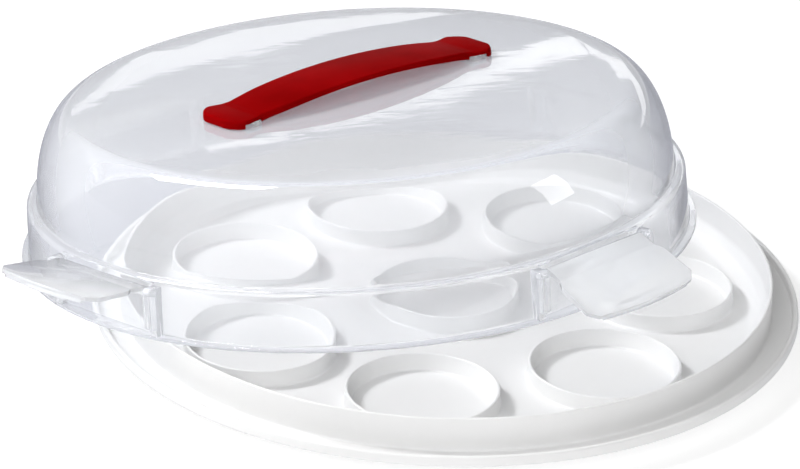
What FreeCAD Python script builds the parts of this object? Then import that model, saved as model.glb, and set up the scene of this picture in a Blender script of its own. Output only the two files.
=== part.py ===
import FreeCAD, Part
import Sketcher
import math
import os

# Round cake carrier: a wide serving tray with a raised ring wall and eight
# round wells (seven around one), a low domed lid that has been set down
# askew on the ring wall, a strap handle snapped on the lid's lugs, and four
# hinged side latches. Millimetres, +Z up, origin on the table under the
# centre of the tray.

doc = FreeCAD.newDocument("cake_carrier")

# ---------------------------------------------------------------- dimensions
DIM = [
    # tray
    ("tray_rim_rad", 172.5), ("lip_inner_rad", 169.4), ("lip_top", 14.6),
    ("lip_bottom", 9.0), ("channel_top", 10.2), ("channel_bottom", 8.4),
    ("wall_out_rad", 159.0), ("wall_in_rad", 157.4), ("wall_top", 27.0),
    ("floor_top", 6.0), ("floor_under", 4.2), ("floor_rad", 149.0),
    ("foot_out_rad", 148.0), ("foot_in_rad", 145.6), ("pad_rad", 22.0),
    # wells
    ("cup_ring_rad", 105.5), ("cup_out_rad", 36.5), ("cup_wall", 1.5),
    ("cup_foot_in", 33.2), ("cup_top", 14.6), ("cup_count", 7),
    ("cup_phase", -96.0),
    # lid
    ("flange_rad", 168.6), ("flange_thick", 1.8), ("skirt_in_rad", 163.2),
    ("skirt_out_rad", 164.8), ("shoulder_rad", 164.0), ("shoulder_top", 28.2),
    ("dome_foot_rad", 158.5), ("dome_foot_top", 29.5), ("dome_curve", 20.9),
    ("lid_top", 75.0), ("lid_wall", 1.6),
    ("lid_shift_x", -44.0), ("lid_shift_y", 51.0), ("lid_raise", 21.6),
    ("lean_angle", 7.2), ("lean_toward", 131.0),
    # latch seats in the lid
    ("latch_first", -45.7), ("latch_count", 4), ("pin_dist", 164.2),
    ("pin_height", 23.5), ("pin_rad", 1.6), ("pin_hole_rad", 1.7),
    ("pin_half", 35.8), ("seat_half", 32.6), ("seat_face", 161.4),
    ("cheek_width", 5.2), ("cheek_front", 167.6), ("cheek_height", 26.0),
    # latches
    ("plate_thick", 2.0), ("plate_lift", 0.5), ("neck_half", 31.4),
    ("plate_half", 35.5), ("plate_reach", 38.5), ("barrel_rad", 2.3),
    ("hook_half", 14.0), ("hook_depth", 3.4), ("bead_depth", 1.3),
    ("latch_drooped", 26.0), ("latch_open", 7.0), ("latch_raised", -8.0),
    ("latch_shut", 66.0),
    # handle
    ("grip_azimuth", 39.5), ("grip_reach", 83.0), ("grip_rise", 84.9),
    ("grip_end_top", 79.7), ("grip_mid_half", 18.0),
    ("grip_neck_half", 14.8), ("grip_cap_half", 17.0), ("lug_top", 77.6),
    ("lug_near", 65.5), ("lug_far", 76.0), ("lug_half", 15.4),
]
sheet = doc.addObject("Spreadsheet::Sheet", "dims")
row = 1
D = {}
for name, value in DIM:
    sheet.set("A%d" % row, name)
    sheet.set("B%d" % row, repr(value))
    sheet.setAlias("B%d" % row, name)
    D[name] = float(value)
    row += 1
doc.recompute()


def q(*terms):
    """A length as (number, expression) from sheet names and plain numbers.
    A term is a name, a name with a leading minus, a (factor, name) pair or a
    number."""
    value, words = 0.0, []
    for t in terms:
        if isinstance(t, str):
            k, n = (-1.0, t[1:]) if t.startswith("-") else (1.0, t)
        elif isinstance(t, tuple):
            k, n = t
        else:
            k, n = float(t), None
        if n is None:
            value += k
            words.append("%+.4f" % k)
        else:
            value += k * D[n]
            words.append("%+.4f * dims.%s" % (k, n))
    text = " ".join(words)
    return value, (text[1:] if text.startswith("+") else text)


def plane(body, role):
    for f in body.Origin.OriginFeatures:
        if f.Role == role:
            return f
    raise RuntimeError(role)


def new_body(label):
    b = doc.addObject("PartDesign::Body", label)
    b.Label = label
    return b


def new_sketch(body, name, role, lift=None, turn=0.0):
    sk = body.newObject("Sketcher::SketchObject", name)
    sk.AttachmentSupport = [(plane(body, role), "")]
    sk.MapMode = "FlatFace"
    if lift is not None or turn:
        z = lift[0] if lift else 0.0
        sk.AttachmentOffset = FreeCAD.Placement(
            FreeCAD.Vector(0, 0, z), FreeCAD.Rotation(FreeCAD.Vector(0, 0, 1), turn))
        if lift:
            sk.setExpression("AttachmentOffset.Base.z", lift[1])
    return sk


def pin_point(sk, geo, pos, x, y):
    """Holds a sketch point at x, y, each a (number, expression) pair."""
    for kind, axis, (value, text) in (("DistanceX", -2, x), ("DistanceY", -1, y)):
        if abs(value) < 1e-9:
            sk.addConstraint(Sketcher.Constraint("PointOnObject", geo, pos, axis))
        elif value > 0:
            n = sk.addConstraint(Sketcher.Constraint(kind, -1, 1, geo, pos, value))
            sk.setExpression("Constraints[%d]" % n, text)
        else:
            n = sk.addConstraint(Sketcher.Constraint(kind, geo, pos, -1, 1, -value))
            sk.setExpression("Constraints[%d]" % n, "-(%s)" % text)


def loop(sk, pts):
    """Closed chain. Each point is (x, y) or (x, y, edge), where edge shapes
    the run to the next point: ("arc", mid) bulges by mid millimetres to the
    left of the run, ("oval", cx, cy) is a quarter of an upright oval about
    the centre cx, cy."""
    n = len(pts)
    first = sk.GeometryCount
    ends = []
    for i in range(n):
        a, b = pts[i], pts[(i + 1) % n]
        pa = FreeCAD.Vector(a[0][0], a[1][0], 0)
        pb = FreeCAD.Vector(b[0][0], b[1][0], 0)
        edge = a[2] if len(a) > 2 else None
        if edge is None:
            sk.addGeometry(Part.LineSegment(pa, pb), False)
            ends.append((1, 2))
        elif edge[0] == "arc":
            mid = (pa + pb) * 0.5
            run = pb - pa
            side = FreeCAD.Vector(-run.y, run.x, 0).normalize()
            arc = Part.Arc(pa, mid + side * edge[1], pb).toShape().Curve
            c = arc.Center
            a0 = math.atan2(pa.y - c.y, pa.x - c.x)
            a1 = math.atan2(pb.y - c.y, pb.x - c.x)
            if edge[1] > 0:
                a0, a1 = a1, a0
            circle = Part.Circle(FreeCAD.Vector(c.x, c.y, 0), FreeCAD.Vector(0, 0, 1), arc.Radius)
            sk.addGeometry(Part.ArcOfCircle(circle, a0, a1), False)
            ends.append((2, 1) if edge[1] > 0 else (1, 2))
        else:
            cx, cy = edge[1][0], edge[2][0]
            ax = max(abs(pa.x - cx), abs(pb.x - cx))
            by = max(abs(pa.y - cy), abs(pb.y - cy))
            oval = Part.Ellipse(FreeCAD.Vector(cx, cy + by, 0), FreeCAD.Vector(cx - ax, cy, 0),
                                FreeCAD.Vector(cx, cy, 0))
            # the long axis is upright, so the quarter on the right side of
            # the centre runs from -90 degrees to 0 in the oval's own angle
            sk.addGeometry(Part.ArcOfEllipse(oval, -math.pi / 2, 0), False)
            ends.append((1, 2) if pa.y < pb.y else (2, 1))
    for i in range(n):
        g, h = first + i, first + (i + 1) % n
        sk.addConstraint(Sketcher.Constraint("Coincident", g, ends[i][1], h, ends[(i + 1) % n][0]))
    for i in range(n):
        pin_point(sk, first + i, ends[i][0], pts[i][0], pts[i][1])
        edge = pts[i][2] if len(pts[i]) > 2 else None
        if edge and edge[0] == "oval":
            pin_point(sk, first + i, 3, edge[1], edge[2])
        if edge and edge[0] == "arc":
            r = sk.Geometry[first + i].Radius
            sk.addConstraint(Sketcher.Constraint("Radius", first + i, r))
    return first


def rect(sk, x0, x1, y0, y1):
    loop(sk, [(x0, y0), (x1, y0), (x1, y1), (x0, y1)])


def disc(sk, x, y, r):
    g = sk.addGeometry(Part.Circle(FreeCAD.Vector(x[0], y[0], 0), FreeCAD.Vector(0, 0, 1), r[0]), False)
    pin_point(sk, g, 3, x, y)
    n = sk.addConstraint(Sketcher.Constraint("Radius", g, r[0]))
    sk.setExpression("Constraints[%d]" % n, r[1])


def spin(body, sk, name, axis="V_Axis"):
    f = body.newObject("PartDesign::Revolution", name)
    f.Profile = sk
    f.ReferenceAxis = (sk, [axis])
    f.Angle = 360
    sk.Visibility = False
    doc.recompute()
    return f


def pad(body, sk, name, length, both=False):
    f = body.newObject("PartDesign::Pad", name)
    f.Profile = sk
    f.Length = length[0]
    f.setExpression("Length", length[1])
    f.Midplane = both
    doc.recompute()
    return f


def pocket(body, sk, name, length, up=False, both=False):
    f = body.newObject("PartDesign::Pocket", name)
    f.Profile = sk
    f.Length = length[0]
    f.setExpression("Length", length[1])
    f.Midplane = both
    f.Reversed = up
    doc.recompute()
    return f


def around(body, feats, name, count):
    f = body.newObject("PartDesign::PolarPattern", name)
    f.Originals = feats
    f.Axis = (plane(body, "Z_Axis"), [""])
    f.Angle = 360
    f.Occurrences = int(D[count])
    f.setExpression("Occurrences", "dims." + count)
    body.Tip = f
    doc.recompute()
    return f


# ---------------------------------------------------------------------- tray
tray = new_body("tray")
sk = new_sketch(tray, "tray_section", "XZ_Plane")
loop(sk, [
    (q(0.0), q(0.0)),
    (q("pad_rad"), q(0.0)),
    (q("pad_rad", 0.8), q("floor_under")),
    (q("foot_in_rad", -0.4), q("floor_under")),
    (q("foot_in_rad"), q(0.0)),
    (q("foot_out_rad"), q(0.0)),
    (q("foot_out_rad", 0.6), q("floor_under", -0.2)),
    (q("floor_rad", 3.2), q("floor_under", 1.2)),
    (q("wall_in_rad", -0.8), q("channel_bottom")),
    (q("lip_inner_rad", -0.6), q("channel_bottom")),
    (q("lip_inner_rad", 0.6), q("lip_bottom")),
    (q("tray_rim_rad", -0.3), q("lip_bottom")),
    (q("tray_rim_rad"), q("lip_bottom", 1.2)),
    (q("tray_rim_rad", -0.5), q("lip_top", -1.2), ("arc", -0.75)),
    (q("lip_inner_rad", 0.3), q("lip_top", -1.2)),
    (q("lip_inner_rad"), q("channel_top")),
    (q("wall_out_rad"), q("channel_top")),
    (q("wall_out_rad"), q("wall_top", -0.7), ("arc", -0.6)),
    (q("wall_in_rad"), q("wall_top", -0.7)),
    (q("wall_in_rad"), q("channel_top", 4.0), ("arc", 1.0)),
    (q("wall_in_rad", -3.4), q("floor_top", 2.6)),
    (q("floor_rad", -1.0), q("floor_top")),
    (q(0.0), q("floor_top")),
])
spin(tray, sk, "tray_turn")

# rims of the wells: thin walls that stand on the floor, upright outside and
# sloping inside
cup_loop = [
    (q("cup_ring_rad", "cup_foot_in"), q("floor_top", -0.5)),
    (q("cup_ring_rad", "cup_out_rad"), q("floor_top", -0.5)),
    (q("cup_ring_rad", "cup_out_rad", -0.1), q("cup_top", -0.6), ("arc", -0.6)),
    (q("cup_ring_rad", "cup_out_rad", "-cup_wall"), q("cup_top", -0.6)),
    (q("cup_ring_rad", "cup_foot_in"), q("floor_top", 0.9)),
]
sk = new_sketch(tray, "well_section", "XZ_Plane")
loop(sk, cup_loop)
g = sk.addGeometry(Part.LineSegment(FreeCAD.Vector(D["cup_ring_rad"], 0, 0),
                                    FreeCAD.Vector(D["cup_ring_rad"], 20, 0)), True)
pin_point(sk, g, 1, q("cup_ring_rad"), q(0.0))
sk.addConstraint(Sketcher.Constraint("Vertical", g))
sk.addConstraint(Sketcher.Constraint("DistanceY", g, 1, g, 2, 20.0))
well = spin(tray, sk, "well_turn", "Axis0")
around(tray, [well], "wells_around", "cup_count")

sk = new_sketch(tray, "middle_section", "XZ_Plane")
loop(sk, [
    (q("cup_foot_in"), q("floor_top", -0.5)),
    (q("cup_out_rad"), q("floor_top", -0.5)),
    (q("cup_out_rad", -0.1), q("cup_top", -0.6), ("arc", -0.6)),
    (q("cup_out_rad", "-cup_wall"), q("cup_top", -0.6)),
    (q("cup_foot_in"), q("floor_top", 0.9)),
])
middle = spin(tray, sk, "middle_turn")
tray.Tip = middle
tray.Placement = FreeCAD.Placement(
    FreeCAD.Vector(0, 0, 0), FreeCAD.Rotation(FreeCAD.Vector(0, 0, 1), D["cup_phase"]))

# ----------------------------------------------------------------------- lid
# Modelled with its flange's underside at height 0 and its first latch seat
# on +X, then turned, leaned and set askew.
lid = new_body("lid")
sk = new_sketch(lid, "lid_section", "XZ_Plane")
loop(sk, [
    (q("skirt_in_rad"), q(0.0)),
    (q("flange_rad"), q(0.0)),
    (q("flange_rad"), q("flange_thick")),
    (q("skirt_out_rad", 0.4), q("flange_thick")),
    (q("skirt_out_rad"), q("flange_thick", 0.8)),
    (q("shoulder_rad"), q("shoulder_top", -1.9), ("arc", -0.6)),
    (q("shoulder_rad", -1.9), q("shoulder_top")),
    (q("dome_foot_rad", 0.9), q("shoulder_top", 0.1)),
    (q("dome_foot_rad"), q("dome_foot_top"),
     ("oval", q("dome_foot_rad", "-dome_curve"), q("dome_foot_top"))),
    (q("dome_foot_rad", "-dome_curve"), q("lid_top")),
    (q(0.0), q("lid_top")),
    (q(0.0), q("lid_top", "-lid_wall")),
    (q("dome_foot_rad", "-dome_curve"), q("lid_top", "-lid_wall"),
     ("oval", q("dome_foot_rad", "-dome_curve"), q("dome_foot_top"))),
    (q("dome_foot_rad", "-lid_wall"), q("dome_foot_top")),
    (q("dome_foot_rad", "-lid_wall"), q("shoulder_top", "-lid_wall")),
    (q("shoulder_rad", "-lid_wall", -0.6), q("shoulder_top", "-lid_wall")),
    (q("shoulder_rad", "-lid_wall", 0.0), q("shoulder_top", "-lid_wall", -0.8)),
])
spin(lid, sk, "lid_turn")

sk = new_sketch(lid, "seat_cut", "XY_Plane", q("flange_thick"))
rect(sk, q("seat_face"), q("flange_rad", 6.0), q("-seat_half"), q("seat_half"))
seat = pocket(lid, sk, "seat_pocket", q("shoulder_top", 6.0), up=True)

sk = new_sketch(lid, "seat_back", "XY_Plane")
rect(sk, q("seat_face", "-lid_wall", -0.2), q("seat_face"), q("-seat_half", -0.4), q("seat_half", 0.4))
back = pad(lid, sk, "seat_wall", q("shoulder_top", -0.6))

sk = new_sketch(lid, "cheek_plan", "XY_Plane")
rect(sk, q("seat_face", -2.2), q("cheek_front"), q("seat_half"), q("seat_half", "cheek_width"))
rect(sk, q("seat_face", -2.2), q("cheek_front"), q("-seat_half", "-cheek_width"), q("-seat_half"))
cheeks = pad(lid, sk, "cheeks", q("cheek_height"))

sk = new_sketch(lid, "cheek_relief", "XY_Plane")
rect(sk, q("cheek_front", -3.0), q("cheek_front", 1.0), q("seat_half", -0.2), q("seat_half", "cheek_width", 0.5))
rect(sk, q("cheek_front", -3.0), q("cheek_front", 1.0), q("-seat_half", "-cheek_width", -0.5), q("-seat_half", 0.2))
relief = pocket(lid, sk, "cheek_relief_cut", q(5.4), up=True)

sk = new_sketch(lid, "pin_hole", "XZ_Plane")
disc(sk, q("pin_dist"), q("pin_height"), q("pin_hole_rad"))
holes = pocket(lid, sk, "pin_bores", q((2.0, "pin_half"), 0.8), both=True)
around(lid, [seat, back, cheeks, relief, holes], "seats_around", "latch_count")

sk = new_sketch(lid, "lug_plan", "XY_Plane", q("lid_top", -0.6), D["grip_azimuth"] - D["latch_first"])
rect(sk, q("lug_near"), q("lug_far"), q("-lug_half"), q("lug_half"))
rect(sk, q("-lug_far"), q("-lug_near"), q("-lug_half"), q("lug_half"))
pad(lid, sk, "lugs", q("lug_top", "-lid_top", 0.6))

lean = FreeCAD.Placement(
    FreeCAD.Vector(D["lid_shift_x"], D["lid_shift_y"], D["lid_raise"]),
    FreeCAD.Rotation(FreeCAD.Vector(math.cos(math.radians(D["lean_toward"] + 90.0)),
                                    math.sin(math.radians(D["lean_toward"] + 90.0)), 0.0),
                     D["lean_angle"]))


def turned(angle):
    return FreeCAD.Placement(FreeCAD.Vector(0, 0, 0),
                             FreeCAD.Rotation(FreeCAD.Vector(0, 0, 1), angle))


lid.Placement = lean.multiply(turned(D["latch_first"]))

# -------------------------------------------------------------------- handle
# Side view of the arched strap, and its outline from above; the strap is
# what the two have in common.
side = new_body("handle_side")
sk = new_sketch(side, "side_view", "XZ_Plane")
rise = D["grip_rise"] - D["grip_end_top"]
loop(sk, [
    (q("-grip_reach"), q("lug_top", -1.9)),
    (q("-grip_reach", 4.0), q("lug_top", -2.2)),
    (q("-lug_far", -0.4), q("lug_top", -2.2)),
    (q("-lug_far", -0.4), q("lug_top")),
    (q("-lug_near", 0.4), q("lug_top")),
    (q("-lug_near", 0.4), q("lug_top", -1.6)),
    (q("-lug_near", 5.0), q("lug_top", -0.6), ("arc", rise)),
    (q("lug_near", -5.0), q("lug_top", -0.6)),
    (q("lug_near", -0.4), q("lug_top", -1.6)),
    (q("lug_near", -0.4), q("lug_top")),
    (q("lug_far", 0.4), q("lug_top")),
    (q("lug_far", 0.4), q("lug_top", -2.2)),
    (q("grip_reach", -4.0), q("lug_top", -2.2)),
    (q("grip_reach"), q("lug_top", -1.9)),
    (q("grip_reach", -0.6), q("grip_end_top", -0.8)),
    (q("grip_reach", -2.4), q("grip_end_top")),
    (q("lug_far", -8.0), q("grip_end_top"), ("arc", -rise)),
    (q("-lug_far", 8.0), q("grip_end_top")),
    (q("-grip_reach", 2.4), q("grip_end_top")),
    (q("-grip_reach", 0.6), q("grip_end_top", -0.8)),
])
pad(side, sk, "side_pad", q(40.0), both=True)

plan = new_body("handle_plan")
sk = new_sketch(plan, "plan_view", "XY_Plane", q("lid_top", -1.0))
loop(sk, [
    (q("-grip_reach"), q(-6.0)),
    (q("-grip_reach", 1.6), q(-11.2)),
    (q("-grip_reach", 4.4), q("-grip_cap_half", 1.6)),
    (q("-grip_reach", 8.5), q("-grip_cap_half")),
    (q("-lug_near", -4.5), q("-grip_cap_half", 1.0)),
    (q("-lug_near", 0.5), q("-grip_neck_half")),
    (q("-lug_near", 4.5), q("-grip_neck_half", -0.2)),
    (q("-lug_near", 10.0), q("-grip_neck_half", -1.0)),
    (q("-lug_near", 19.5), q("-grip_mid_half", 1.1), ("arc", -1.1)),
    (q("lug_near", -19.5), q("-grip_mid_half", 1.1)),
    (q("lug_near", -10.0), q("-grip_neck_half", -1.0)),
    (q("lug_near", -4.5), q("-grip_neck_half", -0.2)),
    (q("lug_near", -0.5), q("-grip_neck_half")),
    (q("lug_near", 4.5), q("-grip_cap_half", 1.0)),
    (q("grip_reach", -8.5), q("-grip_cap_half")),
    (q("grip_reach", -4.4), q("-grip_cap_half", 1.6)),
    (q("grip_reach", -1.6), q(-11.2)),
    (q("grip_reach"), q(-6.0)),
    (q("grip_reach"), q(6.0)),
    (q("grip_reach", -1.6), q(11.2)),
    (q("grip_reach", -4.4), q("grip_cap_half", -1.6)),
    (q("grip_reach", -8.5), q("grip_cap_half")),
    (q("lug_near", 4.5), q("grip_cap_half", -1.0)),
    (q("lug_near", -0.5), q("grip_neck_half")),
    (q("lug_near", -4.5), q("grip_neck_half", 0.2)),
    (q("lug_near", -10.0), q("grip_neck_half", 1.0)),
    (q("lug_near", -19.5), q("grip_mid_half", -1.1), ("arc", -1.1)),
    (q("-lug_near", 19.5), q("grip_mid_half", -1.1)),
    (q("-lug_near", 10.0), q("grip_neck_half", 1.0)),
    (q("-lug_near", 4.5), q("grip_neck_half", 0.2)),
    (q("-lug_near", 0.5), q("grip_neck_half")),
    (q("-lug_near", -4.5), q("grip_cap_half", -1.0)),
    (q("-grip_reach", 8.5), q("grip_cap_half")),
    (q("-grip_reach", 4.4), q("grip_cap_half", -1.6)),
    (q("-grip_reach", 1.6), q(11.2)),
    (q("-grip_reach"), q(6.0)),
])
pad(plan, sk, "plan_pad", q(16.0))

handle = doc.addObject("Part::Common", "handle")
handle.Label = "handle"
handle.Base = side
handle.Tool = plan
doc.recompute()
handle.Placement = lean.multiply(turned(D["grip_azimuth"]))

# ------------------------------------------------------------------- latches
# Local frame: the pin runs along Y through the origin, the plate reaches
# out along +X, and the hook hangs below the plate near its free edge.
LATCHES = [
    ("latch_front_right", 0, "latch_drooped"),
    ("latch_rear_right", 1, "latch_shut"),
    ("latch_rear_left", 2, "latch_open"),
    ("latch_front_left", 3, "latch_raised"),
]
latches = []
for label, step, angle in LATCHES:
    b = new_body(label)
    sk = new_sketch(b, label + "_plate", "XY_Plane", q("plate_lift"))
    loop(sk, [
        (q(0.2), q("-neck_half")),
        (q(9.0), q("-neck_half")),
        (q(13.0), q("-plate_half", 1.2)),
        (q("plate_reach", -7.0), q("-plate_half")),
        (q("plate_reach", -2.4), q("-plate_half", 4.6), ("arc", -2.4)),
        (q("plate_reach", -2.4), q("plate_half", -4.6)),
        (q("plate_reach", -7.0), q("plate_half")),
        (q(13.0), q("plate_half", -1.2)),
        (q(9.0), q("neck_half")),
        (q(0.2), q("neck_half")),
    ])
    pad(b, sk, label + "_plate_pad", q("plate_thick"))
    sk = new_sketch(b, label + "_barrel", "XZ_Plane")
    disc(sk, q(0.0), q(0.0), q("barrel_rad"))
    pad(b, sk, label + "_barrel_pad", q((2.0, "neck_half")), both=True)
    sk = new_sketch(b, label + "_pin", "XZ_Plane")
    disc(sk, q(0.0), q(0.0), q("pin_rad"))
    pad(b, sk, label + "_pin_pad", q((2.0, "pin_half")), both=True)
    sk = new_sketch(b, label + "_hook", "XZ_Plane")
    loop(sk, [
        (q("plate_reach", -6.4), q("plate_lift", 0.4)),
        (q("plate_reach", -6.4), q("-hook_depth", 1.3)),
        (q("plate_reach", -8.4), q("-hook_depth", 1.3)),
        (q("plate_reach", -8.4), q("-hook_depth")),
        (q("plate_reach", -5.0), q("-hook_depth")),
        (q("plate_reach", -5.0), q("plate_lift", 0.4)),
    ])
    pad(b, sk, label + "_hook_pad", q((2.0, "hook_half")), both=True)
    sk = new_sketch(b, label + "_bead", "XY_Plane", q("plate_lift", "-bead_depth"))
    loop(sk, [
        (q("plate_reach", -4.0), q("-plate_half", 4.6)),
        (q("plate_reach", -2.4), q("-plate_half", 4.6), ("arc", -2.4)),
        (q("plate_reach", -2.4), q("plate_half", -4.6)),
        (q("plate_reach", -4.0), q("plate_half", -4.6), ("arc", 2.4)),
    ])
    pad(b, sk, label + "_bead_pad", q("bead_depth", 0.4))
    seat_at = FreeCAD.Placement(FreeCAD.Vector(D["pin_dist"], 0, D["pin_height"]),
                                FreeCAD.Rotation(FreeCAD.Vector(0, 1, 0), D[angle]))
    b.Placement = lean.multiply(
        turned(D["latch_first"] + 360.0 / D["latch_count"] * step)).multiply(seat_at)
    latches.append(b)

doc.recompute()

# -------------------------------------------------------------------- export
for o in doc.Objects:
    bad = [s for s in o.State if s in ("Invalid", "Error")]
    if bad:
        raise RuntimeError("%s: %s" % (o.Label, bad))
os.makedirs("parts", exist_ok=True)
for o in [tray, lid, handle] + latches:
    shape = o.Shape
    if shape.isNull() or not shape.isValid():
        raise RuntimeError("shape of " + o.Label)
    if len(shape.Solids) != 1:
        raise RuntimeError("%s has %d solids" % (o.Label, len(shape.Solids)))
    shape.exportStep("parts/%s.step" % o.Label)
    bb = shape.BoundBox
    print("%-18s %8.1f mm3  x %.1f..%.1f  y %.1f..%.1f  z %.2f..%.2f" % (
        o.Label, shape.Volume, bb.XMin, bb.XMax, bb.YMin, bb.YMax, bb.ZMin, bb.ZMax))
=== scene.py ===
import bpy
import bmesh
import math
from mathutils import Matrix, Vector


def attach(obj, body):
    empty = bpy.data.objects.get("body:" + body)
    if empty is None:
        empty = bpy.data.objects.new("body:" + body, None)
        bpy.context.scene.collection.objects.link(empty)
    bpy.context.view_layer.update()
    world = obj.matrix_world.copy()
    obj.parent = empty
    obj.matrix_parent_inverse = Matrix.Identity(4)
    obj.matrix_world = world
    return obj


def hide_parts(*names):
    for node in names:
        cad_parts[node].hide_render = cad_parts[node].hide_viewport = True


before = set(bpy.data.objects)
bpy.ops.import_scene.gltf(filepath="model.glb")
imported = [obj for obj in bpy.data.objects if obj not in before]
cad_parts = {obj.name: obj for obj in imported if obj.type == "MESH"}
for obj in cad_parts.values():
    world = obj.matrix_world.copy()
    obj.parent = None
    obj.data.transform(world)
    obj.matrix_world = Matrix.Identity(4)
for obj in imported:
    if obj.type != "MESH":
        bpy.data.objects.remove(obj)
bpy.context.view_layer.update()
MM = 0.001
col = bpy.context.scene.collection

# --------------------------------------------------------------- placements
LEAN = (
    Matrix.Translation(Vector((-44.0, 51.0, 21.6)))
    @ Matrix.Rotation(math.radians(7.2), 4,
                      Vector((math.cos(math.radians(221.0)), math.sin(math.radians(221.0)), 0.0)))
)


def turn(deg):
    return Matrix.Rotation(math.radians(deg), 4, "Z")


LATCH_AT = -45.7
SEATS = [LATCH_AT + 90.0 * i for i in range(4)]
GRIP_AT = 39.5
GRIP = LEAN @ turn(GRIP_AT)


# ------------------------------------------------------------ mesh builders
def rounded(points, steps=6):
    """Closed 2D outline from (x, y, radius) corners, each corner rounded."""
    out = []
    n = len(points)
    for i in range(n):
        x, y, r = points[i]
        p = Vector((x, y))
        a = Vector(points[i - 1][:2]) - p
        b = Vector(points[(i + 1) % n][:2]) - p
        if r <= 0 or a.length < 1e-9 or b.length < 1e-9:
            out.append((x, y))
            continue
        ang = a.angle(b)
        if ang > math.pi - 0.02:
            out.append((x, y))
            continue
        cut = min(r / math.tan(ang / 2), a.length * 0.49, b.length * 0.49)
        rr = cut * math.tan(ang / 2)
        a.normalize()
        b.normalize()
        c = p + (a + b).normalized() * (rr / math.sin(ang / 2))
        s, e = p + a * cut, p + b * cut
        a0 = math.atan2(s.y - c.y, s.x - c.x)
        a1 = math.atan2(e.y - c.y, e.x - c.x)
        d = (a1 - a0 + math.pi) % (2 * math.pi) - math.pi
        for k in range(steps + 1):
            t = a0 + d * k / steps
            out.append((c.x + rr * math.cos(t), c.y + rr * math.sin(t)))
    return out


def finer(points, gap):
    """Closed outline with extra points so that no run is longer than gap."""
    out = []
    n = len(points)
    for i in range(n):
        a, b = Vector(points[i]), Vector(points[(i + 1) % n])
        k = max(1, int(math.ceil((b - a).length / gap)))
        for j in range(k):
            out.append(tuple(a.lerp(b, j / k)))
    return out


def make(name, verts, faces, where, sharp=40.0):
    """Mesh object in metres from millimetres, placed by where, smooth with
    its sharp edges kept."""
    me = bpy.data.meshes.new(name)
    me.from_pydata([tuple((where @ Vector(v)) * MM) for v in verts], [], faces)
    me.validate()
    ob = bpy.data.objects.new(name, me)
    col.objects.link(ob)
    tidy(ob, sharp)
    return ob


def tidy(ob, sharp=40.0):
    bm = bmesh.new()
    bm.from_mesh(ob.data)
    bmesh.ops.remove_doubles(bm, verts=bm.verts, dist=2e-7)
    bmesh.ops.recalc_face_normals(bm, faces=bm.faces)
    lim = math.radians(sharp)
    for e in bm.edges:
        e.smooth = not (len(e.link_faces) == 2 and e.calc_face_angle(0.0) > lim)
    for f in bm.faces:
        f.smooth = True
    bm.to_mesh(ob.data)
    bm.free()


def lathe(name, prof, seg, where, centre=(0.0, 0.0), bend=None, sharp=40.0):
    """Turned shape from a closed (radius, height) outline. bend moves a
    point, given as x, y, z and its outline index."""
    verts, faces, rows = [], [], []
    for r, z in prof:
        if r < 1e-6:
            verts.append((centre[0], centre[1], z))
            rows.append([len(verts) - 1] * seg)
        else:
            row = []
            for k in range(seg):
                t = 2 * math.pi * k / seg
                p = (centre[0] + r * math.cos(t), centre[1] + r * math.sin(t), z)
                if bend:
                    p = bend(p, len(rows))
                row.append(len(verts))
                verts.append(p)
            rows.append(row)
    n = len(rows)
    for i in range(n):
        a, b = rows[i], rows[(i + 1) % n]
        if a[0] == a[1] and b[0] == b[1]:
            continue
        for k in range(seg):
            m = (k + 1) % seg
            q = [a[k], a[m], b[m], b[k]]
            q = [v for j, v in enumerate(q) if v != q[j - 1]]
            if len(q) > 2:
                faces.append(q)
    return make(name, verts, faces, where, sharp)


def prism(name, outline, lo, hi, axis, where, bevel=0.0, steps=2, sharp=35.0):
    """Outline pushed along an axis: "z" takes it as x, y and "y" as x, z."""
    n = len(outline)
    if axis == "z":
        verts = [(x, y, lo) for x, y in outline] + [(x, y, hi) for x, y in outline]
    else:
        verts = [(x, lo, z) for x, z in outline] + [(x, hi, z) for x, z in outline]
    faces = [list(range(n))[::-1], list(range(n, 2 * n))]
    faces += [[i, (i + 1) % n, n + (i + 1) % n, n + i] for i in range(n)]
    ob = make(name, verts, faces, where, 180.0)
    if bevel:
        bm = bmesh.new()
        bm.from_mesh(ob.data)
        ed = [e for e in bm.edges if len(e.link_faces) == 2 and e.calc_face_angle(0.0) > math.radians(30)]
        bmesh.ops.bevel(bm, geom=ed, offset=bevel * MM, segments=steps, profile=0.5, affect="EDGES")
        bm.to_mesh(ob.data)
        bm.free()
    tidy(ob, sharp)
    return ob


def union(name, first, others):
    """One closed shell from overlapping closed shells."""
    for o in others:
        m = first.modifiers.new("join", "BOOLEAN")
        m.operation = "UNION"
        m.solver = "EXACT"
        m.object = o
    dg = bpy.context.evaluated_depsgraph_get()
    me = bpy.data.meshes.new_from_object(first.evaluated_get(dg))
    for o in others + [first]:
        bpy.data.objects.remove(o)
    ob = bpy.data.objects.new(name, me)
    ob.data.name = name
    col.objects.link(ob)
    return ob


def soften(ob, width, steps=2, sharp=50.0, over=28.0):
    bm = bmesh.new()
    bm.from_mesh(ob.data)
    bmesh.ops.dissolve_limit(bm, angle_limit=math.radians(0.6), verts=bm.verts, edges=bm.edges)
    bm.to_mesh(ob.data)
    bm.free()
    m = ob.modifiers.new("edge", "BEVEL")
    m.width = width * MM
    m.segments = steps
    m.limit_method = "ANGLE"
    m.angle_limit = math.radians(over)
    m.use_clamp_overlap = True
    m.harden_normals = False
    dg = bpy.context.evaluated_depsgraph_get()
    me = bpy.data.meshes.new_from_object(ob.evaluated_get(dg))
    ob.modifiers.clear()
    ob.data = me
    tidy(ob, sharp)
    return ob


# ---------------------------------------------------------------- materials
def nodes_of(name):
    m = bpy.data.materials.new(name)
    m.use_nodes = True
    nt = m.node_tree
    b = nt.nodes["Principled BSDF"]
    out = nt.nodes["Material Output"]
    return m, nt, b, out


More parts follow.
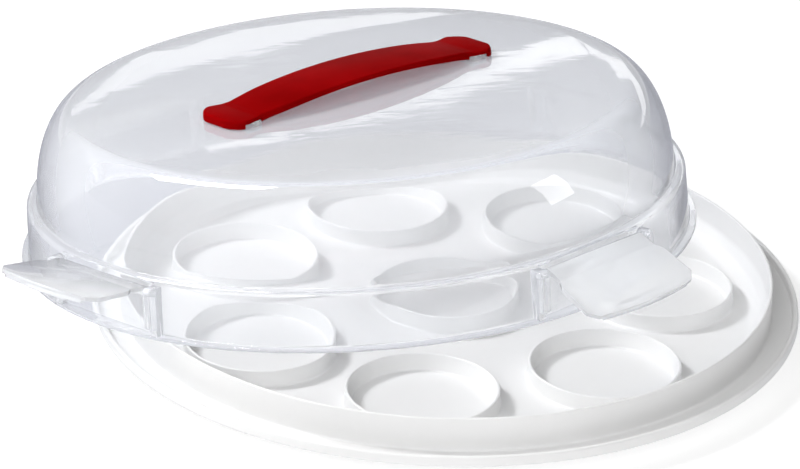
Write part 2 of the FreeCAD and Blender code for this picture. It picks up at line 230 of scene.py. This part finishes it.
def noise(nt, scale, detail=2.0, rough=0.5, coord=None):
    n = nt.nodes.new("ShaderNodeTexNoise")
    n.inputs["Scale"].default_value = scale
    n.inputs["Detail"].default_value = detail
    n.inputs["Roughness"].default_value = rough
    nt.links.new(coord.outputs["Object"], n.inputs["Vector"])
    return n


def spread(nt, source, lo, hi):
    r = nt.nodes.new("ShaderNodeMapRange")
    r.inputs["From Min"].default_value = 0.25
    r.inputs["From Max"].default_value = 0.75
    r.inputs["To Min"].default_value = lo
    r.inputs["To Max"].default_value = hi
    nt.links.new(source, r.inputs["Value"])
    return r.outputs["Result"]


def bump(nt, source, strength, dist, after=None):
    b = nt.nodes.new("ShaderNodeBump")
    b.inputs["Strength"].default_value = strength
    b.inputs["Distance"].default_value = dist
    nt.links.new(source, b.inputs["Height"])
    if after is not None:
        nt.links.new(after, b.inputs["Normal"])
    return b.outputs["Normal"]


def tint(nt, source, dark, light):
    r = nt.nodes.new("ShaderNodeValToRGB")
    r.color_ramp.elements[0].position = 0.3
    r.color_ramp.elements[1].position = 0.7
    r.color_ramp.elements[0].color = (*dark, 1)
    r.color_ramp.elements[1].color = (*light, 1)
    nt.links.new(source, r.inputs["Fac"])
    return r.outputs["Color"]


def white_plastic():
    m, nt, b, out = nodes_of("tray_plastic")
    c = nt.nodes.new("ShaderNodeTexCoord")
    big = noise(nt, 9.0, 3.0, 0.55, c)
    fine = noise(nt, 2600.0, 2.0, 0.6, c)
    mid = noise(nt, 60.0, 3.0, 0.5, c)
    nt.links.new(tint(nt, big.outputs["Fac"], (0.785, 0.785, 0.785), (0.835, 0.835, 0.835)), b.inputs["Base Color"])
    nt.links.new(spread(nt, mid.outputs["Fac"], 0.30, 0.38), b.inputs["Roughness"])
    n1 = bump(nt, mid.outputs["Fac"], 0.04, 0.0006)
    nt.links.new(bump(nt, fine.outputs["Fac"], 0.05, 0.00003, n1), b.inputs["Normal"])
    b.inputs["IOR"].default_value = 1.49
    return m


def clear_plastic(name, veil, thin, dense, rough, wave, grain=None):
    """Milky clear moulded plastic: clear and glossy, with a veil that gathers where the wall is met at a glance.
    There the veil's colour is darkened to a painted shade along the silhouettes. Lamps reach through it."""
    m, nt, b, out = nodes_of(name)
    c = nt.nodes.new("ShaderNodeTexCoord")
    slow = noise(nt, 14.0, 2.0, 0.5, c)
    mid = noise(nt, 55.0, 2.0, 0.5, c)
    fine = noise(nt, 900.0, 2.0, 0.5, c)
    lw = nt.nodes.new("ShaderNodeLayerWeight")
    lw.inputs["Blend"].default_value = 0.5
    pale = tint(nt, slow.outputs["Fac"], (0.965, 0.972, 0.982), (0.985, 0.988, 0.992))
    deep = tint(nt, slow.outputs["Fac"], (0.66, 0.67, 0.73), (0.70, 0.71, 0.765))
    edge = nt.nodes.new("ShaderNodeMapRange")
    edge.interpolation_type = "SMOOTHSTEP"
    edge.inputs["From Min"].default_value = 0.55
    edge.inputs["From Max"].default_value = 1.0
    nt.links.new(lw.outputs["Facing"], edge.inputs["Value"])
    painted_shade_rim = nt.nodes.new("ShaderNodeMapRange")
    painted_shade_rim.interpolation_type = "SMOOTHSTEP"
    painted_shade_rim.inputs["From Min"].default_value = 0.40
    painted_shade_rim.inputs["From Max"].default_value = 1.0
    nt.links.new(lw.outputs["Facing"], painted_shade_rim.inputs["Value"])
    tone = nt.nodes.new("ShaderNodeMix")
    tone.data_type = "RGBA"
    nt.links.new(edge.outputs["Result"], tone.inputs["Factor"])
    nt.links.new(pale, tone.inputs[6])
    nt.links.new(deep, tone.inputs[7])
    nt.links.new(tone.outputs[2], b.inputs["Base Color"])
    shine = spread(nt, mid.outputs["Fac"], rough, rough * 1.7)
    nt.links.new(shine, b.inputs["Roughness"])
    b.inputs["Transmission Weight"].default_value = 1.0
    b.inputs["IOR"].default_value = 1.44
    # ripples left by the mould, drawn out along one way
    mp = nt.nodes.new("ShaderNodeMapping")
    mp.inputs["Rotation"].default_value = (0, 0, math.radians(-4))
    mp.inputs["Scale"].default_value = (0.34, 1.0, 1.0)
    nt.links.new(c.outputs["Object"], mp.inputs["Vector"])
    rip = nt.nodes.new("ShaderNodeTexNoise")
    rip.inputs["Scale"].default_value = 62.0
    rip.inputs["Detail"].default_value = 2.0
    rip.inputs["Roughness"].default_value = 0.55
    rip.inputs["Distortion"].default_value = 0.6
    nt.links.new(mp.outputs["Vector"], rip.inputs["Vector"])
    n1 = bump(nt, rip.outputs["Fac"], wave, 0.0006)
    n2 = bump(nt, fine.outputs["Fac"], 0.02, 0.00003, n1)
    nt.links.new(n2, b.inputs["Normal"])
    v = nt.nodes.new("ShaderNodeBsdfPrincipled")
    # painted shade: where the wall is met at a glance, the veil's colour falls to about a fifth of its facing colour,
    # darkening the silhouettes
    near = tint(nt, slow.outputs["Fac"], tuple(k * 0.97 for k in veil), veil)
    veil_glance_painted_shade = tint(nt, slow.outputs["Fac"], tuple(k * 0.20 for k in veil), tuple(k * 0.23 for k in veil))
    shade = nt.nodes.new("ShaderNodeMix")
    shade.data_type = "RGBA"
    nt.links.new(painted_shade_rim.outputs["Result"], shade.inputs["Factor"])
    nt.links.new(near, shade.inputs[6])
    nt.links.new(veil_glance_painted_shade, shade.inputs[7])
    nt.links.new(shade.outputs[2], v.inputs["Base Color"])
    nt.links.new(shine, v.inputs["Roughness"])
    v.inputs["IOR"].default_value = 1.44
    nt.links.new(n2, v.inputs["Normal"])
    amount = nt.nodes.new("ShaderNodeMapRange")
    amount.inputs["From Min"].default_value = 0.25
    amount.inputs["From Max"].default_value = 1.0
    amount.inputs["To Min"].default_value = thin
    amount.inputs["To Max"].default_value = dense
    nt.links.new(lw.outputs["Facing"], amount.inputs["Value"])
    body = nt.nodes.new("ShaderNodeMixShader")
    nt.links.new(amount.outputs["Result"], body.inputs["Fac"])
    nt.links.new(b.outputs["BSDF"], body.inputs[1])
    nt.links.new(v.outputs["BSDF"], body.inputs[2])
    lp = nt.nodes.new("ShaderNodeLightPath")
    soft = nt.nodes.new("ShaderNodeMath")
    soft.operation = "MAXIMUM"
    nt.links.new(lp.outputs["Is Shadow Ray"], soft.inputs[0])
    nt.links.new(lp.outputs["Is Diffuse Ray"], soft.inputs[1])
    tr = nt.nodes.new("ShaderNodeBsdfTransparent")
    tr.inputs["Color"].default_value = (0.945, 0.950, 0.960, 1)
    mix = nt.nodes.new("ShaderNodeMixShader")
    nt.links.new(soft.outputs["Value"], mix.inputs["Fac"])
    nt.links.new(body.outputs["Shader"], mix.inputs[1])
    nt.links.new(tr.outputs["BSDF"], mix.inputs[2])
    nt.links.new(mix.outputs["Shader"], out.inputs["Surface"])
    return m


def red_plastic():
    m, nt, b, out = nodes_of("handle_plastic")
    c = nt.nodes.new("ShaderNodeTexCoord")
    big = noise(nt, 30.0, 3.0, 0.5, c)
    fine = noise(nt, 1800.0, 2.0, 0.6, c)
    nt.links.new(tint(nt, big.outputs["Fac"], (0.20, 0.0006, 0.0010), (0.27, 0.0010, 0.0018)), b.inputs["Base Color"])
    nt.links.new(spread(nt, big.outputs["Fac"], 0.16, 0.24), b.inputs["Roughness"])
    n1 = bump(nt, big.outputs["Fac"], 0.05, 0.0008)
    nt.links.new(bump(nt, fine.outputs["Fac"], 0.06, 0.00003, n1), b.inputs["Normal"])
    b.inputs["IOR"].default_value = 1.12
    b.inputs["Specular IOR Level"].default_value = 0.012
    return m


TRAY = white_plastic()
LID = clear_plastic("lid_plastic", (0.87, 0.885, 0.92), 0.18, 0.60, 0.03, 0.055)
LATCH = clear_plastic("latch_plastic", (0.92, 0.93, 0.95), 0.34, 0.62, 0.06, 0.01)
RED = red_plastic()


def put(ob, body, mat, stands=None):
    ob.data.materials.clear()
    ob.data.materials.append(mat)
    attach(ob, body)
    if stands:
        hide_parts(stands)
    return ob


# --------------------------------------------------------------------- tray
dish = [
    (0.0, 0.0, 0), (22.0, 0.0, 0.7), (22.8, 4.2, 1.0), (145.2, 4.2, 0.9), (145.6, 0.0, 0.6),
    (148.0, 0.0, 0.7), (148.6, 4.0, 1.2), (152.2, 5.4, 2.5), (156.6, 8.4, 2.0),
    (168.8, 8.4, 0.9), (170.0, 9.0, 0.8), (172.2, 9.0, 0.45), (172.5, 10.2, 1.2),
    (172.05, 14.15, 1.15), (169.75, 14.15, 0.85), (169.4, 10.2, 1.0), (159.1, 10.2, 1.2),
    (159.0, 26.9, 0.72), (157.4, 26.9, 0.72), (157.4, 14.2, 5.0), (154.0, 8.6, 4.0),
    (148.0, 6.0, 6.0), (0.0, 6.0, 0),
]
where = turn(-96.0)
prof = rounded(dish, 7)
dish_ob = lathe("tray_dish", prof, 420, where)
put(dish_ob, "tray", TRAY, "tray")


def well_outline(k):
    return rounded([
        (38.6, 5.4, 0), (38.6, 5.93, 0), (36.62, 6.06, 1.6), (36.42, 14.45, 0.7), (35.0, 14.45, 0.7),
        (33.35, 6.06, 1.5), (31.6, 5.93, 0), (31.6, 5.4, 0),
    ], 7)


spots = [(0.0, 0.0)] + [
    (105.5 * math.cos(2 * math.pi * i / 7), 105.5 * math.sin(2 * math.pi * i / 7)) for i in range(7)]
for i, s in enumerate(spots):
    w = lathe("tray_well_%d" % i, well_outline(i), 144, where, centre=s)
    put(w, "tray", TRAY)

# ---------------------------------------------------------------------- lid
def crowned(r, h):
    """The flat top falls away very gently outside the handle's seat."""
    if r <= 85.0 or h <= 29.5:
        return (r, h)
    return (r, h - 2.6 * ((r - 85.0) / 73.5) ** 2 * (h - 29.5) / 45.5)


lid_pts = [
    (163.1, 14.0, 0), (163.2, 0.0, 0.4), (168.6, 0.0, 0.5), (168.6, 1.8, 0.5), (165.1, 1.9, 0.9),
    (164.0, 28.2, 2.4), (158.9, 28.35, 1.0), (158.5, 45.0, 0),
]
outer = rounded(lid_pts, 6)[1:-1]
oval = [(137.6 + 20.9 * math.cos(t), 29.5 + 45.5 * math.sin(t))
        for t in [math.pi / 2 * k / 36 for k in range(1, 37)]]
inner = [(137.6 + 19.3 * math.cos(t), 29.5 + 43.9 * math.sin(t))
         for t in [math.pi / 2 * k / 24 for k in range(24, -1, -1)]]
top = [(r, 75.0) for r in (130.0, 122.0, 114.0, 106.0, 98.0, 91.0, 85.0, 60.0, 30.0)]
under = [(r, 73.4) for r in (30.0, 60.0, 85.0, 98.0, 114.0, 126.0)]
low = rounded([(156.9, 40.0, 0), (156.9, 26.8, 0.8), (162.35, 26.6, 1.4), (163.2, 0.0, 0), (120.0, 0.0, 0)], 4)[1:-2]
skirt = [(162.35 + 0.85 * k / 4, 25.0 - 24.4 * k / 4) for k in range(1, 4)]
prof = [crowned(*p) for p in outer + oval + top + [(0.0, 75.0), (0.0, 73.4)] + under + inner + low + skirt]
I4 = Matrix.Identity(4)


def moved(ob, where):
    ob.data.transform(Matrix.Scale(MM, 4) @ where @ Matrix.Scale(1 / MM, 4))
    return ob


def cut(first, tool):
    m = first.modifiers.new("cut", "BOOLEAN")
    m.operation = "DIFFERENCE"
    m.solver = "EXACT"
    m.object = tool
    return baked(first, [tool])


def baked(first, others):
    dg = bpy.context.evaluated_depsgraph_get()
    me = bpy.data.meshes.new_from_object(first.evaluated_get(dg))
    name = first.name
    for o in others + [first]:
        bpy.data.objects.remove(o)
    ob = bpy.data.objects.new(name, me)
    col.objects.link(ob)
    return ob


def round_copies(ob, name):
    bm = bmesh.new()
    for i in range(4):
        me = ob.data.copy()
        me.transform(turn(90.0 * i))
        bm.from_mesh(me)
        bpy.data.meshes.remove(me)
    me = bpy.data.meshes.new(name)
    bm.to_mesh(me)
    bm.free()
    bpy.data.objects.remove(ob)
    out = bpy.data.objects.new(name, me)
    col.objects.link(out)
    return out


def seat_parts():
    """Flat wall behind a latch, the ledge below it and the two cheeks that
    hold its pin."""
    wall = prism("wall", [(159.7, -33.5), (161.4, -33.5), (161.4, 33.5), (159.7, 33.5)], 0.06, 27.6, "z", I4,
                 bevel=0.25)
    ledge = prism("ledge", [(160.6, -33.1), (164.4, -33.1), (164.4, 33.1), (160.6, 33.1)], 0.1, 1.66, "z", I4)
    parts = [ledge]
    for sgn in (-1, 1):
        line = rounded([(159.4, 0.12, 0), (164.5, 0.12, 0), (164.6, 5.3, 0.5), (167.6, 5.6, 1.2),
                        (167.6, 26.0, 2.2), (159.4, 26.0, 0)], 5)
        lo, hi = sorted((sgn * 32.65, sgn * 37.8))
        parts.append(prism("cheek", line, lo, hi, "y", I4, bevel=0.55, steps=3))
    ob = union("seat", wall, parts)
    for sgn in (-1, 1):
        circ = [(164.2 + 1.75 * math.cos(t), 23.5 + 1.75 * math.sin(t))
                for t in [2 * math.pi * k / 32 for k in range(32)]]
        lo, hi = sorted((sgn * 30.0, sgn * 36.3))
        ob = cut(ob, prism("bore", circ, lo, hi, "y", I4))
    return ob


lid_where = LEAN @ turn(LATCH_AT)
shell = lathe("lid_shell", prof, 400, I4, sharp=180.0)
gap = rounded([(161.42, -32.6, 0), (176.0, -32.6, 0), (176.0, 32.6, 0), (161.42, 32.6, 0)], 3)
shell = cut(shell, round_copies(prism("recess", gap, 1.72, 36.0, "z", I4), "recesses"))
shell = union("lid_shell", shell, [round_copies(seat_parts(), "seats")])
for i, sgn in enumerate((-1, 1)):
    xs = sorted((sgn * 65.5, sgn * 76.0))
    line = rounded([(xs[0], -15.4, 1.5), (xs[1], -15.4, 1.5), (xs[1], 15.4, 1.5), (xs[0], 15.4, 1.5)], 5)
    lug = prism("lug", line, 74.2, 77.55, "z", turn(GRIP_AT - LATCH_AT), bevel=0.5)
    shell = union("lid_shell", shell, [lug])
moved(shell, lid_where)
tidy(shell, 33.0)
put(shell, "lid", LID, "lid")


# ------------------------------------------------------------------- handle
WIDTHS = [(46.0, 16.9), (55.5, 15.75), (61.0, 15.0), (65.0, 14.75), (70.0, 15.9), (74.5, 17.0)]


def half_width(x):
    """Half the strap's width: broad in the middle, drawn in at the neck and
    broad again at the caps."""
    x = abs(x)
    if x < 46.0:
        return 18.0 - 1.1 * (x / 46.0) ** 2
    if x >= 74.5:
        t = (x - 74.5) / 8.5
        return 5.8 + 11.2 * max(0.0, 1 - t * t) ** 0.62
    for i in range(len(WIDTHS) - 1):
        (x0, w0), (x1, w1) = WIDTHS[i], WIDTHS[i + 1]
        if x <= x1:
            break
    m0 = -0.048 if i == 0 else (w1 - WIDTHS[i - 1][1]) / (x1 - WIDTHS[i - 1][0])
    m1 = 0.0 if i == len(WIDTHS) - 2 else (WIDTHS[i + 2][1] - w0) / (WIDTHS[i + 2][0] - x0)
    d = x1 - x0
    t = (x - x0) / d
    return ((2 * t ** 3 - 3 * t * t + 1) * w0 + (t ** 3 - 2 * t * t + t) * d * m0
            + (3 * t * t - 2 * t ** 3) * w1 + (t ** 3 - t * t) * d * m1)


def top_line(x):
    x = abs(x)
    return 79.7 + 5.2 * (1 - (x / 68.0) ** 2) if x < 68.0 else 79.7


def under_line(x):
    x = abs(x)
    if x < 60.5:
        return 77.05 + 5.15 * (1 - (x / 60.5) ** 2)
    if x < 65.0:
        return 77.05 - 0.95 * (x - 60.5) / 4.6
    if x <= 76.4:
        return 77.6
    return 75.45


def strap():
    xs = [-82.98]
    for a, b, n in ((-82.9, -80.0, 12), (-79.6, -76.45, 7), (-76.35, -65.1, 14), (-64.95, -56.0, 12),
                    (-55.0, 55.0, 80), (56.0, 64.95, 12), (65.1, 76.35, 14), (76.45, 79.6, 7), (80.0, 82.9, 12)):
        xs += [a + (b - a) * k / (n - 1) for k in range(n)]
    xs.append(82.98)
    keep = []
    for x in xs:
        if not keep or x - keep[-1] > 0.01:
            keep.append(x)
    N = 12
    verts, faces = [], []
    rows = []
    for x in keep:
        w, t, b = half_width(x), top_line(x), under_line(x)
        end = max(0.0, (abs(x) - 81.6) / 1.4)
        drop = 0.9 * (1 - math.sqrt(max(0.0, 1 - end * end)))
        t, b, w = t - drop, b + drop * 0.6, w - drop
        r_top, r_bot = min(1.5, (t - b) * 0.45), min(0.8, (t - b) * 0.3)
        crown = 0.35
        sec = rounded([(-w, b, r_bot), (w, b, r_bot), (w - 0.5, t, r_top), (-(w - 0.5), t, r_top)], 5)
        sec = finer(sec, 60.0)
        row = []
        for (y, z) in sec:
            row.append(len(verts))
            verts.append((x, y, z))
        rows.append(row)
    for a, b in zip(rows, rows[1:]):
        n = len(a)
        for k in range(n):
            m = (k + 1) % n
            faces.append([a[k], a[m], b[m], b[k]])
    faces.append(rows[0][::-1])
    faces.append(rows[-1])
    return make("strap_handle", verts, faces, GRIP, 32.0)


put(strap(), "lid", RED, "handle")


# ------------------------------------------------------------------ latches
def latch_mesh():
    I = Matrix.Identity(4)
    tip = [(36.1 + 2.4 * (1 - (y / 30.9) ** 2), y) for y in [-30.9 + 61.8 * k / 24 for k in range(25)]]
    side = [(0.2, -31.4, 0.6), (9.0, -31.4, 3.0), (13.0, -34.3, 4.0), (31.5, -35.5, 2.5)]
    line = rounded(side + [(x, y, 0) for x, y in tip] + [(x, -y, q) for x, y, q in reversed(side)], 6)
    plate = prism("plate", line, 0.5, 2.5, "z", I)
    circ = [(2.3 * math.cos(2 * math.pi * k / 40), 2.3 * math.sin(2 * math.pi * k / 40)) for k in range(40)]
    barrel = prism("barrel", circ, -31.4, 31.4, "y", I)
    pinc = [(1.6 * math.cos(2 * math.pi * k / 28), 1.6 * math.sin(2 * math.pi * k / 28)) for k in range(28)]
    pin = prism("pin", pinc, -35.8, 35.8, "y", I)
    hook = prism("hook", [(32.1, 0.9), (32.1, -2.1), (30.1, -2.1), (30.1, -3.4), (33.5, -3.4), (33.5, 0.9)],
                 -14.0, 14.0, "y", I)
    bead_line = [(x - 0.05, y) for x, y in tip[1:-1]] + [(x - 1.65, y) for x, y in reversed(tip[1:-1])]
    bead = prism("bead", bead_line, -0.8, 0.9, "z", I)
    ob = union("latch_master", plate, [barrel, pin, hook, bead])
    soften(ob, 0.32, 2, 45.0, 32.0)
    return ob


master = latch_mesh()
for name, a, ang in (("latch_front_right", SEATS[0], 26.0), ("latch_rear_right", SEATS[1], 66.0),
                     ("latch_rear_left", SEATS[2], 7.0), ("latch_front_left", SEATS[3], -8.0)):
    place = LEAN @ turn(a) @ Matrix.Translation(Vector((164.2, 0, 23.5))) @ Matrix.Rotation(math.radians(ang), 4, "Y")
    me = master.data.copy()
    me.transform(Matrix.Scale(MM, 4) @ place @ Matrix.Scale(1 / MM, 4))
    ob = bpy.data.objects.new(name + "_shell", me)
    me.name = name + "_shell"
    col.objects.link(ob)
    put(ob, name, LATCH, name)
bpy.data.objects.remove(master)

# -------------------------------------------------------------------- stage
bpy.ops.mesh.primitive_plane_add(size=16.0, location=(0, 0, 0))
floor = bpy.context.object
floor.name = "floor"
fm, nt, b, out = nodes_of("floor_paper")
c = nt.nodes.new("ShaderNodeTexCoord")
fn = noise(nt, 3.0, 2.0, 0.5, c)
nt.links.new(tint(nt, fn.outputs["Fac"], (0.50, 0.50, 0.50), (0.52, 0.52, 0.52)), b.inputs["Base Color"])
b.inputs["Roughness"].default_value = 0.9
b.inputs["Emission Color"].default_value = (1, 1, 1, 1)
b.inputs["Emission Strength"].default_value = 0.58
flp = nt.nodes.new("ShaderNodeLightPath")
fem = nt.nodes.new("ShaderNodeEmission")
fem.inputs["Color"].default_value = (0.64, 0.66, 0.715, 1)
fmx = nt.nodes.new("ShaderNodeMixShader")
nt.links.new(flp.outputs["Is Transmission Ray"], fmx.inputs["Fac"])
nt.links.new(b.outputs["BSDF"], fmx.inputs[1])
nt.links.new(fem.outputs["Emission"], fmx.inputs[2])
fgl = nt.nodes.new("ShaderNodeEmission")
fgl.inputs["Color"].default_value = (0.47, 0.48, 0.54, 1)
fmg = nt.nodes.new("ShaderNodeMixShader")
nt.links.new(flp.outputs["Is Glossy Ray"], fmg.inputs["Fac"])
nt.links.new(fmx.outputs["Shader"], fmg.inputs[1])
nt.links.new(fgl.outputs["Emission"], fmg.inputs[2])
nt.links.new(fmg.outputs["Shader"], out.inputs["Surface"])
floor.data.materials.append(fm)

world = bpy.data.worlds.new("studio")
bpy.context.scene.world = world
world.use_nodes = True
wn = world.node_tree
wc = wn.nodes.new("ShaderNodeTexCoord")
ws = wn.nodes.new("ShaderNodeSeparateXYZ")
wr = wn.nodes.new("ShaderNodeValToRGB")
wn.links.new(wc.outputs["Generated"], ws.inputs["Vector"])
wn.links.new(ws.outputs["Z"], wr.inputs["Fac"])
ramp = wr.color_ramp
for pos, v in ((0.0, 1.00), (0.12, 0.92), (0.24, 0.55), (0.45, 0.42), (0.75, 0.45), (1.0, 0.50)):
    stop = ramp.elements.new(pos) if pos not in (0.0, 1.0) else ramp.elements[int(pos)]
    stop.color = (v * 0.985, v * 0.99, v, 1)
room = wn.nodes["Background"]
room.inputs["Color"].default_value = (0.985, 0.99, 1.0, 1)
wl = wn.nodes.new("ShaderNodeLightPath")
gloss = wn.nodes.new("ShaderNodeBackground")
side_x = wn.nodes.new("ShaderNodeMath")
side_x.operation = "ABSOLUTE"
wn.links.new(ws.outputs["X"], side_x.inputs[0])
side_f = wn.nodes.new("ShaderNodeMapRange")
side_f.interpolation_type = "SMOOTHSTEP"
for key, v in (("From Min", 0.35), ("From Max", 0.9), ("To Min", 1.0), ("To Max", 0.16)):
    side_f.inputs[key].default_value = v
wn.links.new(side_x.outputs["Value"], side_f.inputs["Value"])
wn.links.new(side_f.outputs["Result"], gloss.inputs["Strength"])
wn.links.new(wr.outputs["Color"], gloss.inputs["Color"])
fill = wn.nodes.new("ShaderNodeBackground")
fill.inputs["Color"].default_value = (1.0, 0.995, 0.985, 1)
fill.inputs["Strength"].default_value = 0.28
wm1 = wn.nodes.new("ShaderNodeMixShader")
wm2 = wn.nodes.new("ShaderNodeMixShader")
wn.links.new(wl.outputs["Is Glossy Ray"], wm1.inputs["Fac"])
wn.links.new(room.outputs["Background"], wm1.inputs[1])
wn.links.new(gloss.outputs["Background"], wm1.inputs[2])
wn.links.new(wl.outputs["Is Diffuse Ray"], wm2.inputs["Fac"])
wn.links.new(wm1.outputs["Shader"], wm2.inputs[1])
wn.links.new(fill.outputs["Background"], wm2.inputs[2])
dim = wn.nodes.new("ShaderNodeBackground")
dim.inputs["Color"].default_value = (0.64, 0.66, 0.715, 1)
wm3 = wn.nodes.new("ShaderNodeMixShader")
wn.links.new(wl.outputs["Is Transmission Ray"], wm3.inputs["Fac"])
wn.links.new(wm2.outputs["Shader"], wm3.inputs[1])
wn.links.new(dim.outputs["Background"], wm3.inputs[2])
wn.links.new(wm3.outputs["Shader"], wn.nodes["World Output"].inputs["Surface"])


def area(name, az, el, dist, w, h, level, aim=(-0.04, 0.05, 0.06)):
    """Soft box seen from the object at an azimuth and elevation; level is how
    bright its face is."""
    a, e = math.radians(az), math.radians(el)
    to = Vector((math.cos(a) * math.cos(e), math.sin(a) * math.cos(e), math.sin(e)))
    d = bpy.data.lights.new(name, "AREA")
    d.shape = "RECTANGLE"
    d.size, d.size_y, d.energy = w, h, level * math.pi * w * h
    o = bpy.data.objects.new(name, d)
    col.objects.link(o)
    o.location = Vector(aim) + to * dist
    o.rotation_mode = "QUATERNION"
    o.rotation_quaternion = (-to).to_track_quat("-Z", "Y")
    return o


def card(name, me, level):
    """Bright card that is seen only in the gloss of the plastic."""
    o = bpy.data.objects.new(name, me)
    col.objects.link(o)
    m = bpy.data.materials.new(name)
    m.use_nodes = True
    m.node_tree.nodes.clear()
    em = m.node_tree.nodes.new("ShaderNodeEmission")
    em.inputs["Strength"].default_value = level
    om = m.node_tree.nodes.new("ShaderNodeOutputMaterial")
    m.node_tree.links.new(em.outputs["Emission"], om.inputs["Surface"])
    me.materials.append(m)
    for k in ("visible_camera", "visible_diffuse", "visible_transmission", "visible_shadow"):
        setattr(o, k, False)
    return o


def only(light, *kinds):
    """Leaves a light seen by the named kinds of ray alone."""
    for k in ("diffuse", "glossy", "transmission"):
        setattr(light, "visible_" + k, k in kinds)
    return light


only(area("key", 166, 46, 1.7, 0.38, 0.38, 51.0), "diffuse")
only(area("window", 152, 54, 1.7, 0.42, 0.76, 26.0), "glossy")
only(area("side", -13, 22, 1.7, 0.34, 0.62, 6.0), "glossy")
only(area("front", -100, 34, 2.2, 1.7, 0.9, 5.1), "diffuse")


def band(name, upper, lower, level):
    """Card drawn out between two rows of corners, for the gloss alone."""
    n = len(upper)
    me = bpy.data.meshes.new(name)
    me.from_pydata(upper + lower, [], [[i, i + 1, n + i + 1, n + i] for i in range(n - 1)])
    return card(name, me, level)


band("band_far",
     [(-0.773, 2.921, 0.675), (-0.631, 2.984, 0.625), (-0.59, 3.029, 0.562), (-0.544, 3.083, 0.468),
      (-0.466, 3.094, 0.499), (-0.374, 3.132, 0.447), (-0.272, 3.148, 0.446), (-0.142, 3.161, 0.427),
      (-0.035, 3.161, 0.416)],
     [(-0.741, 2.917, 0.703), (-0.627, 2.962, 0.665), (-0.587, 2.989, 0.637), (-0.498, 3.024, 0.628),
      (-0.44, 3.038, 0.645), (-0.365, 3.051, 0.673), (-0.299, 3.078, 0.655), (-0.154, 3.128, 0.534),
      (-0.084, 3.152, 0.455)], 1.65)
band("band_near",
     [(-0.452, 2.862, 0.837), (-0.383, 2.893, 0.771), (-0.315, 2.911, 0.748), (-0.276, 2.927, 0.744),
      (-0.223, 2.945, 0.74), (-0.173, 2.967, 0.734), (-0.141, 2.985, 0.728), (-0.078, 3.013, 0.72),
      (-0.008, 3.045, 0.684), (0.079, 3.086, 0.585), (0.114, 3.093, 0.559)],
     [(-0.45, 2.851, 0.858), (-0.39, 2.875, 0.809), (-0.313, 2.899, 0.754), (-0.271, 2.911, 0.752),
      (-0.217, 2.931, 0.748), (-0.159, 2.949, 0.744), (-0.125, 2.956, 0.744), (-0.055, 2.99, 0.733),
      (-0.008, 3.003, 0.728), (0.046, 3.026, 0.696), (0.127, 3.04, 0.662)], 2.2)
band("band_edge",
     [(0.114, 3.093, 0.559), (0.139, 3.061, 0.62), (0.169, 3.043, 0.648), (0.39, 2.997, 0.66),
      (1.213, 2.81, 0.392), (1.687, 2.563, 0.277), (2.167, 2.155, 0.378)],
     [(0.127, 3.066, 0.613), (0.128, 3.042, 0.657), (0.156, 3.027, 0.679), (0.189, 2.981, 0.754),
      (1.264, 2.728, 0.701), (1.775, 2.471, 0.502), (2.189, 2.12, 0.455)], 2.2)


# ------------------------------------------------------------------- camera
f, el, D, tx, ty, roll = 4055.0, 25.287, 1988.7, 22.628, -30.137, 1.544
e, r = math.radians(el), math.radians(roll)
back = Vector((0, -math.cos(e), math.sin(e)))
right = Vector((1, 0, 0))
up = Vector((0, math.sin(e), math.cos(e)))
cx = right * math.cos(r) + up * math.sin(r)
cy = -right * math.sin(r) + up * math.cos(r)
at = -(cx * tx + cy * ty - back * D) + Vector((0, 0, 10.7))
cam = bpy.data.objects.new("camera", bpy.data.cameras.new("camera"))
col.objects.link(cam)
rot = Matrix((cx, cy, back)).transposed()
cam.matrix_world = Matrix.Translation(at * MM) @ rot.to_4x4()
cam.data.sensor_width = 36.0
cam.data.lens = f / 800.0 * 36.0
cam.data.clip_start, cam.data.clip_end = 0.05, 50.0
bpy.context.scene.camera = cam

sc = bpy.context.scene
sc.view_settings.view_transform = "Standard"
sc.view_settings.look = "None"
sc.cycles.use_denoising = True
sc.cycles.max_bounces = 16
sc.cycles.transmission_bounces = 14
sc.cycles.transparent_max_bounces = 16
sc.cycles.glossy_bounces = 6

bpy.context.view_layer.update()
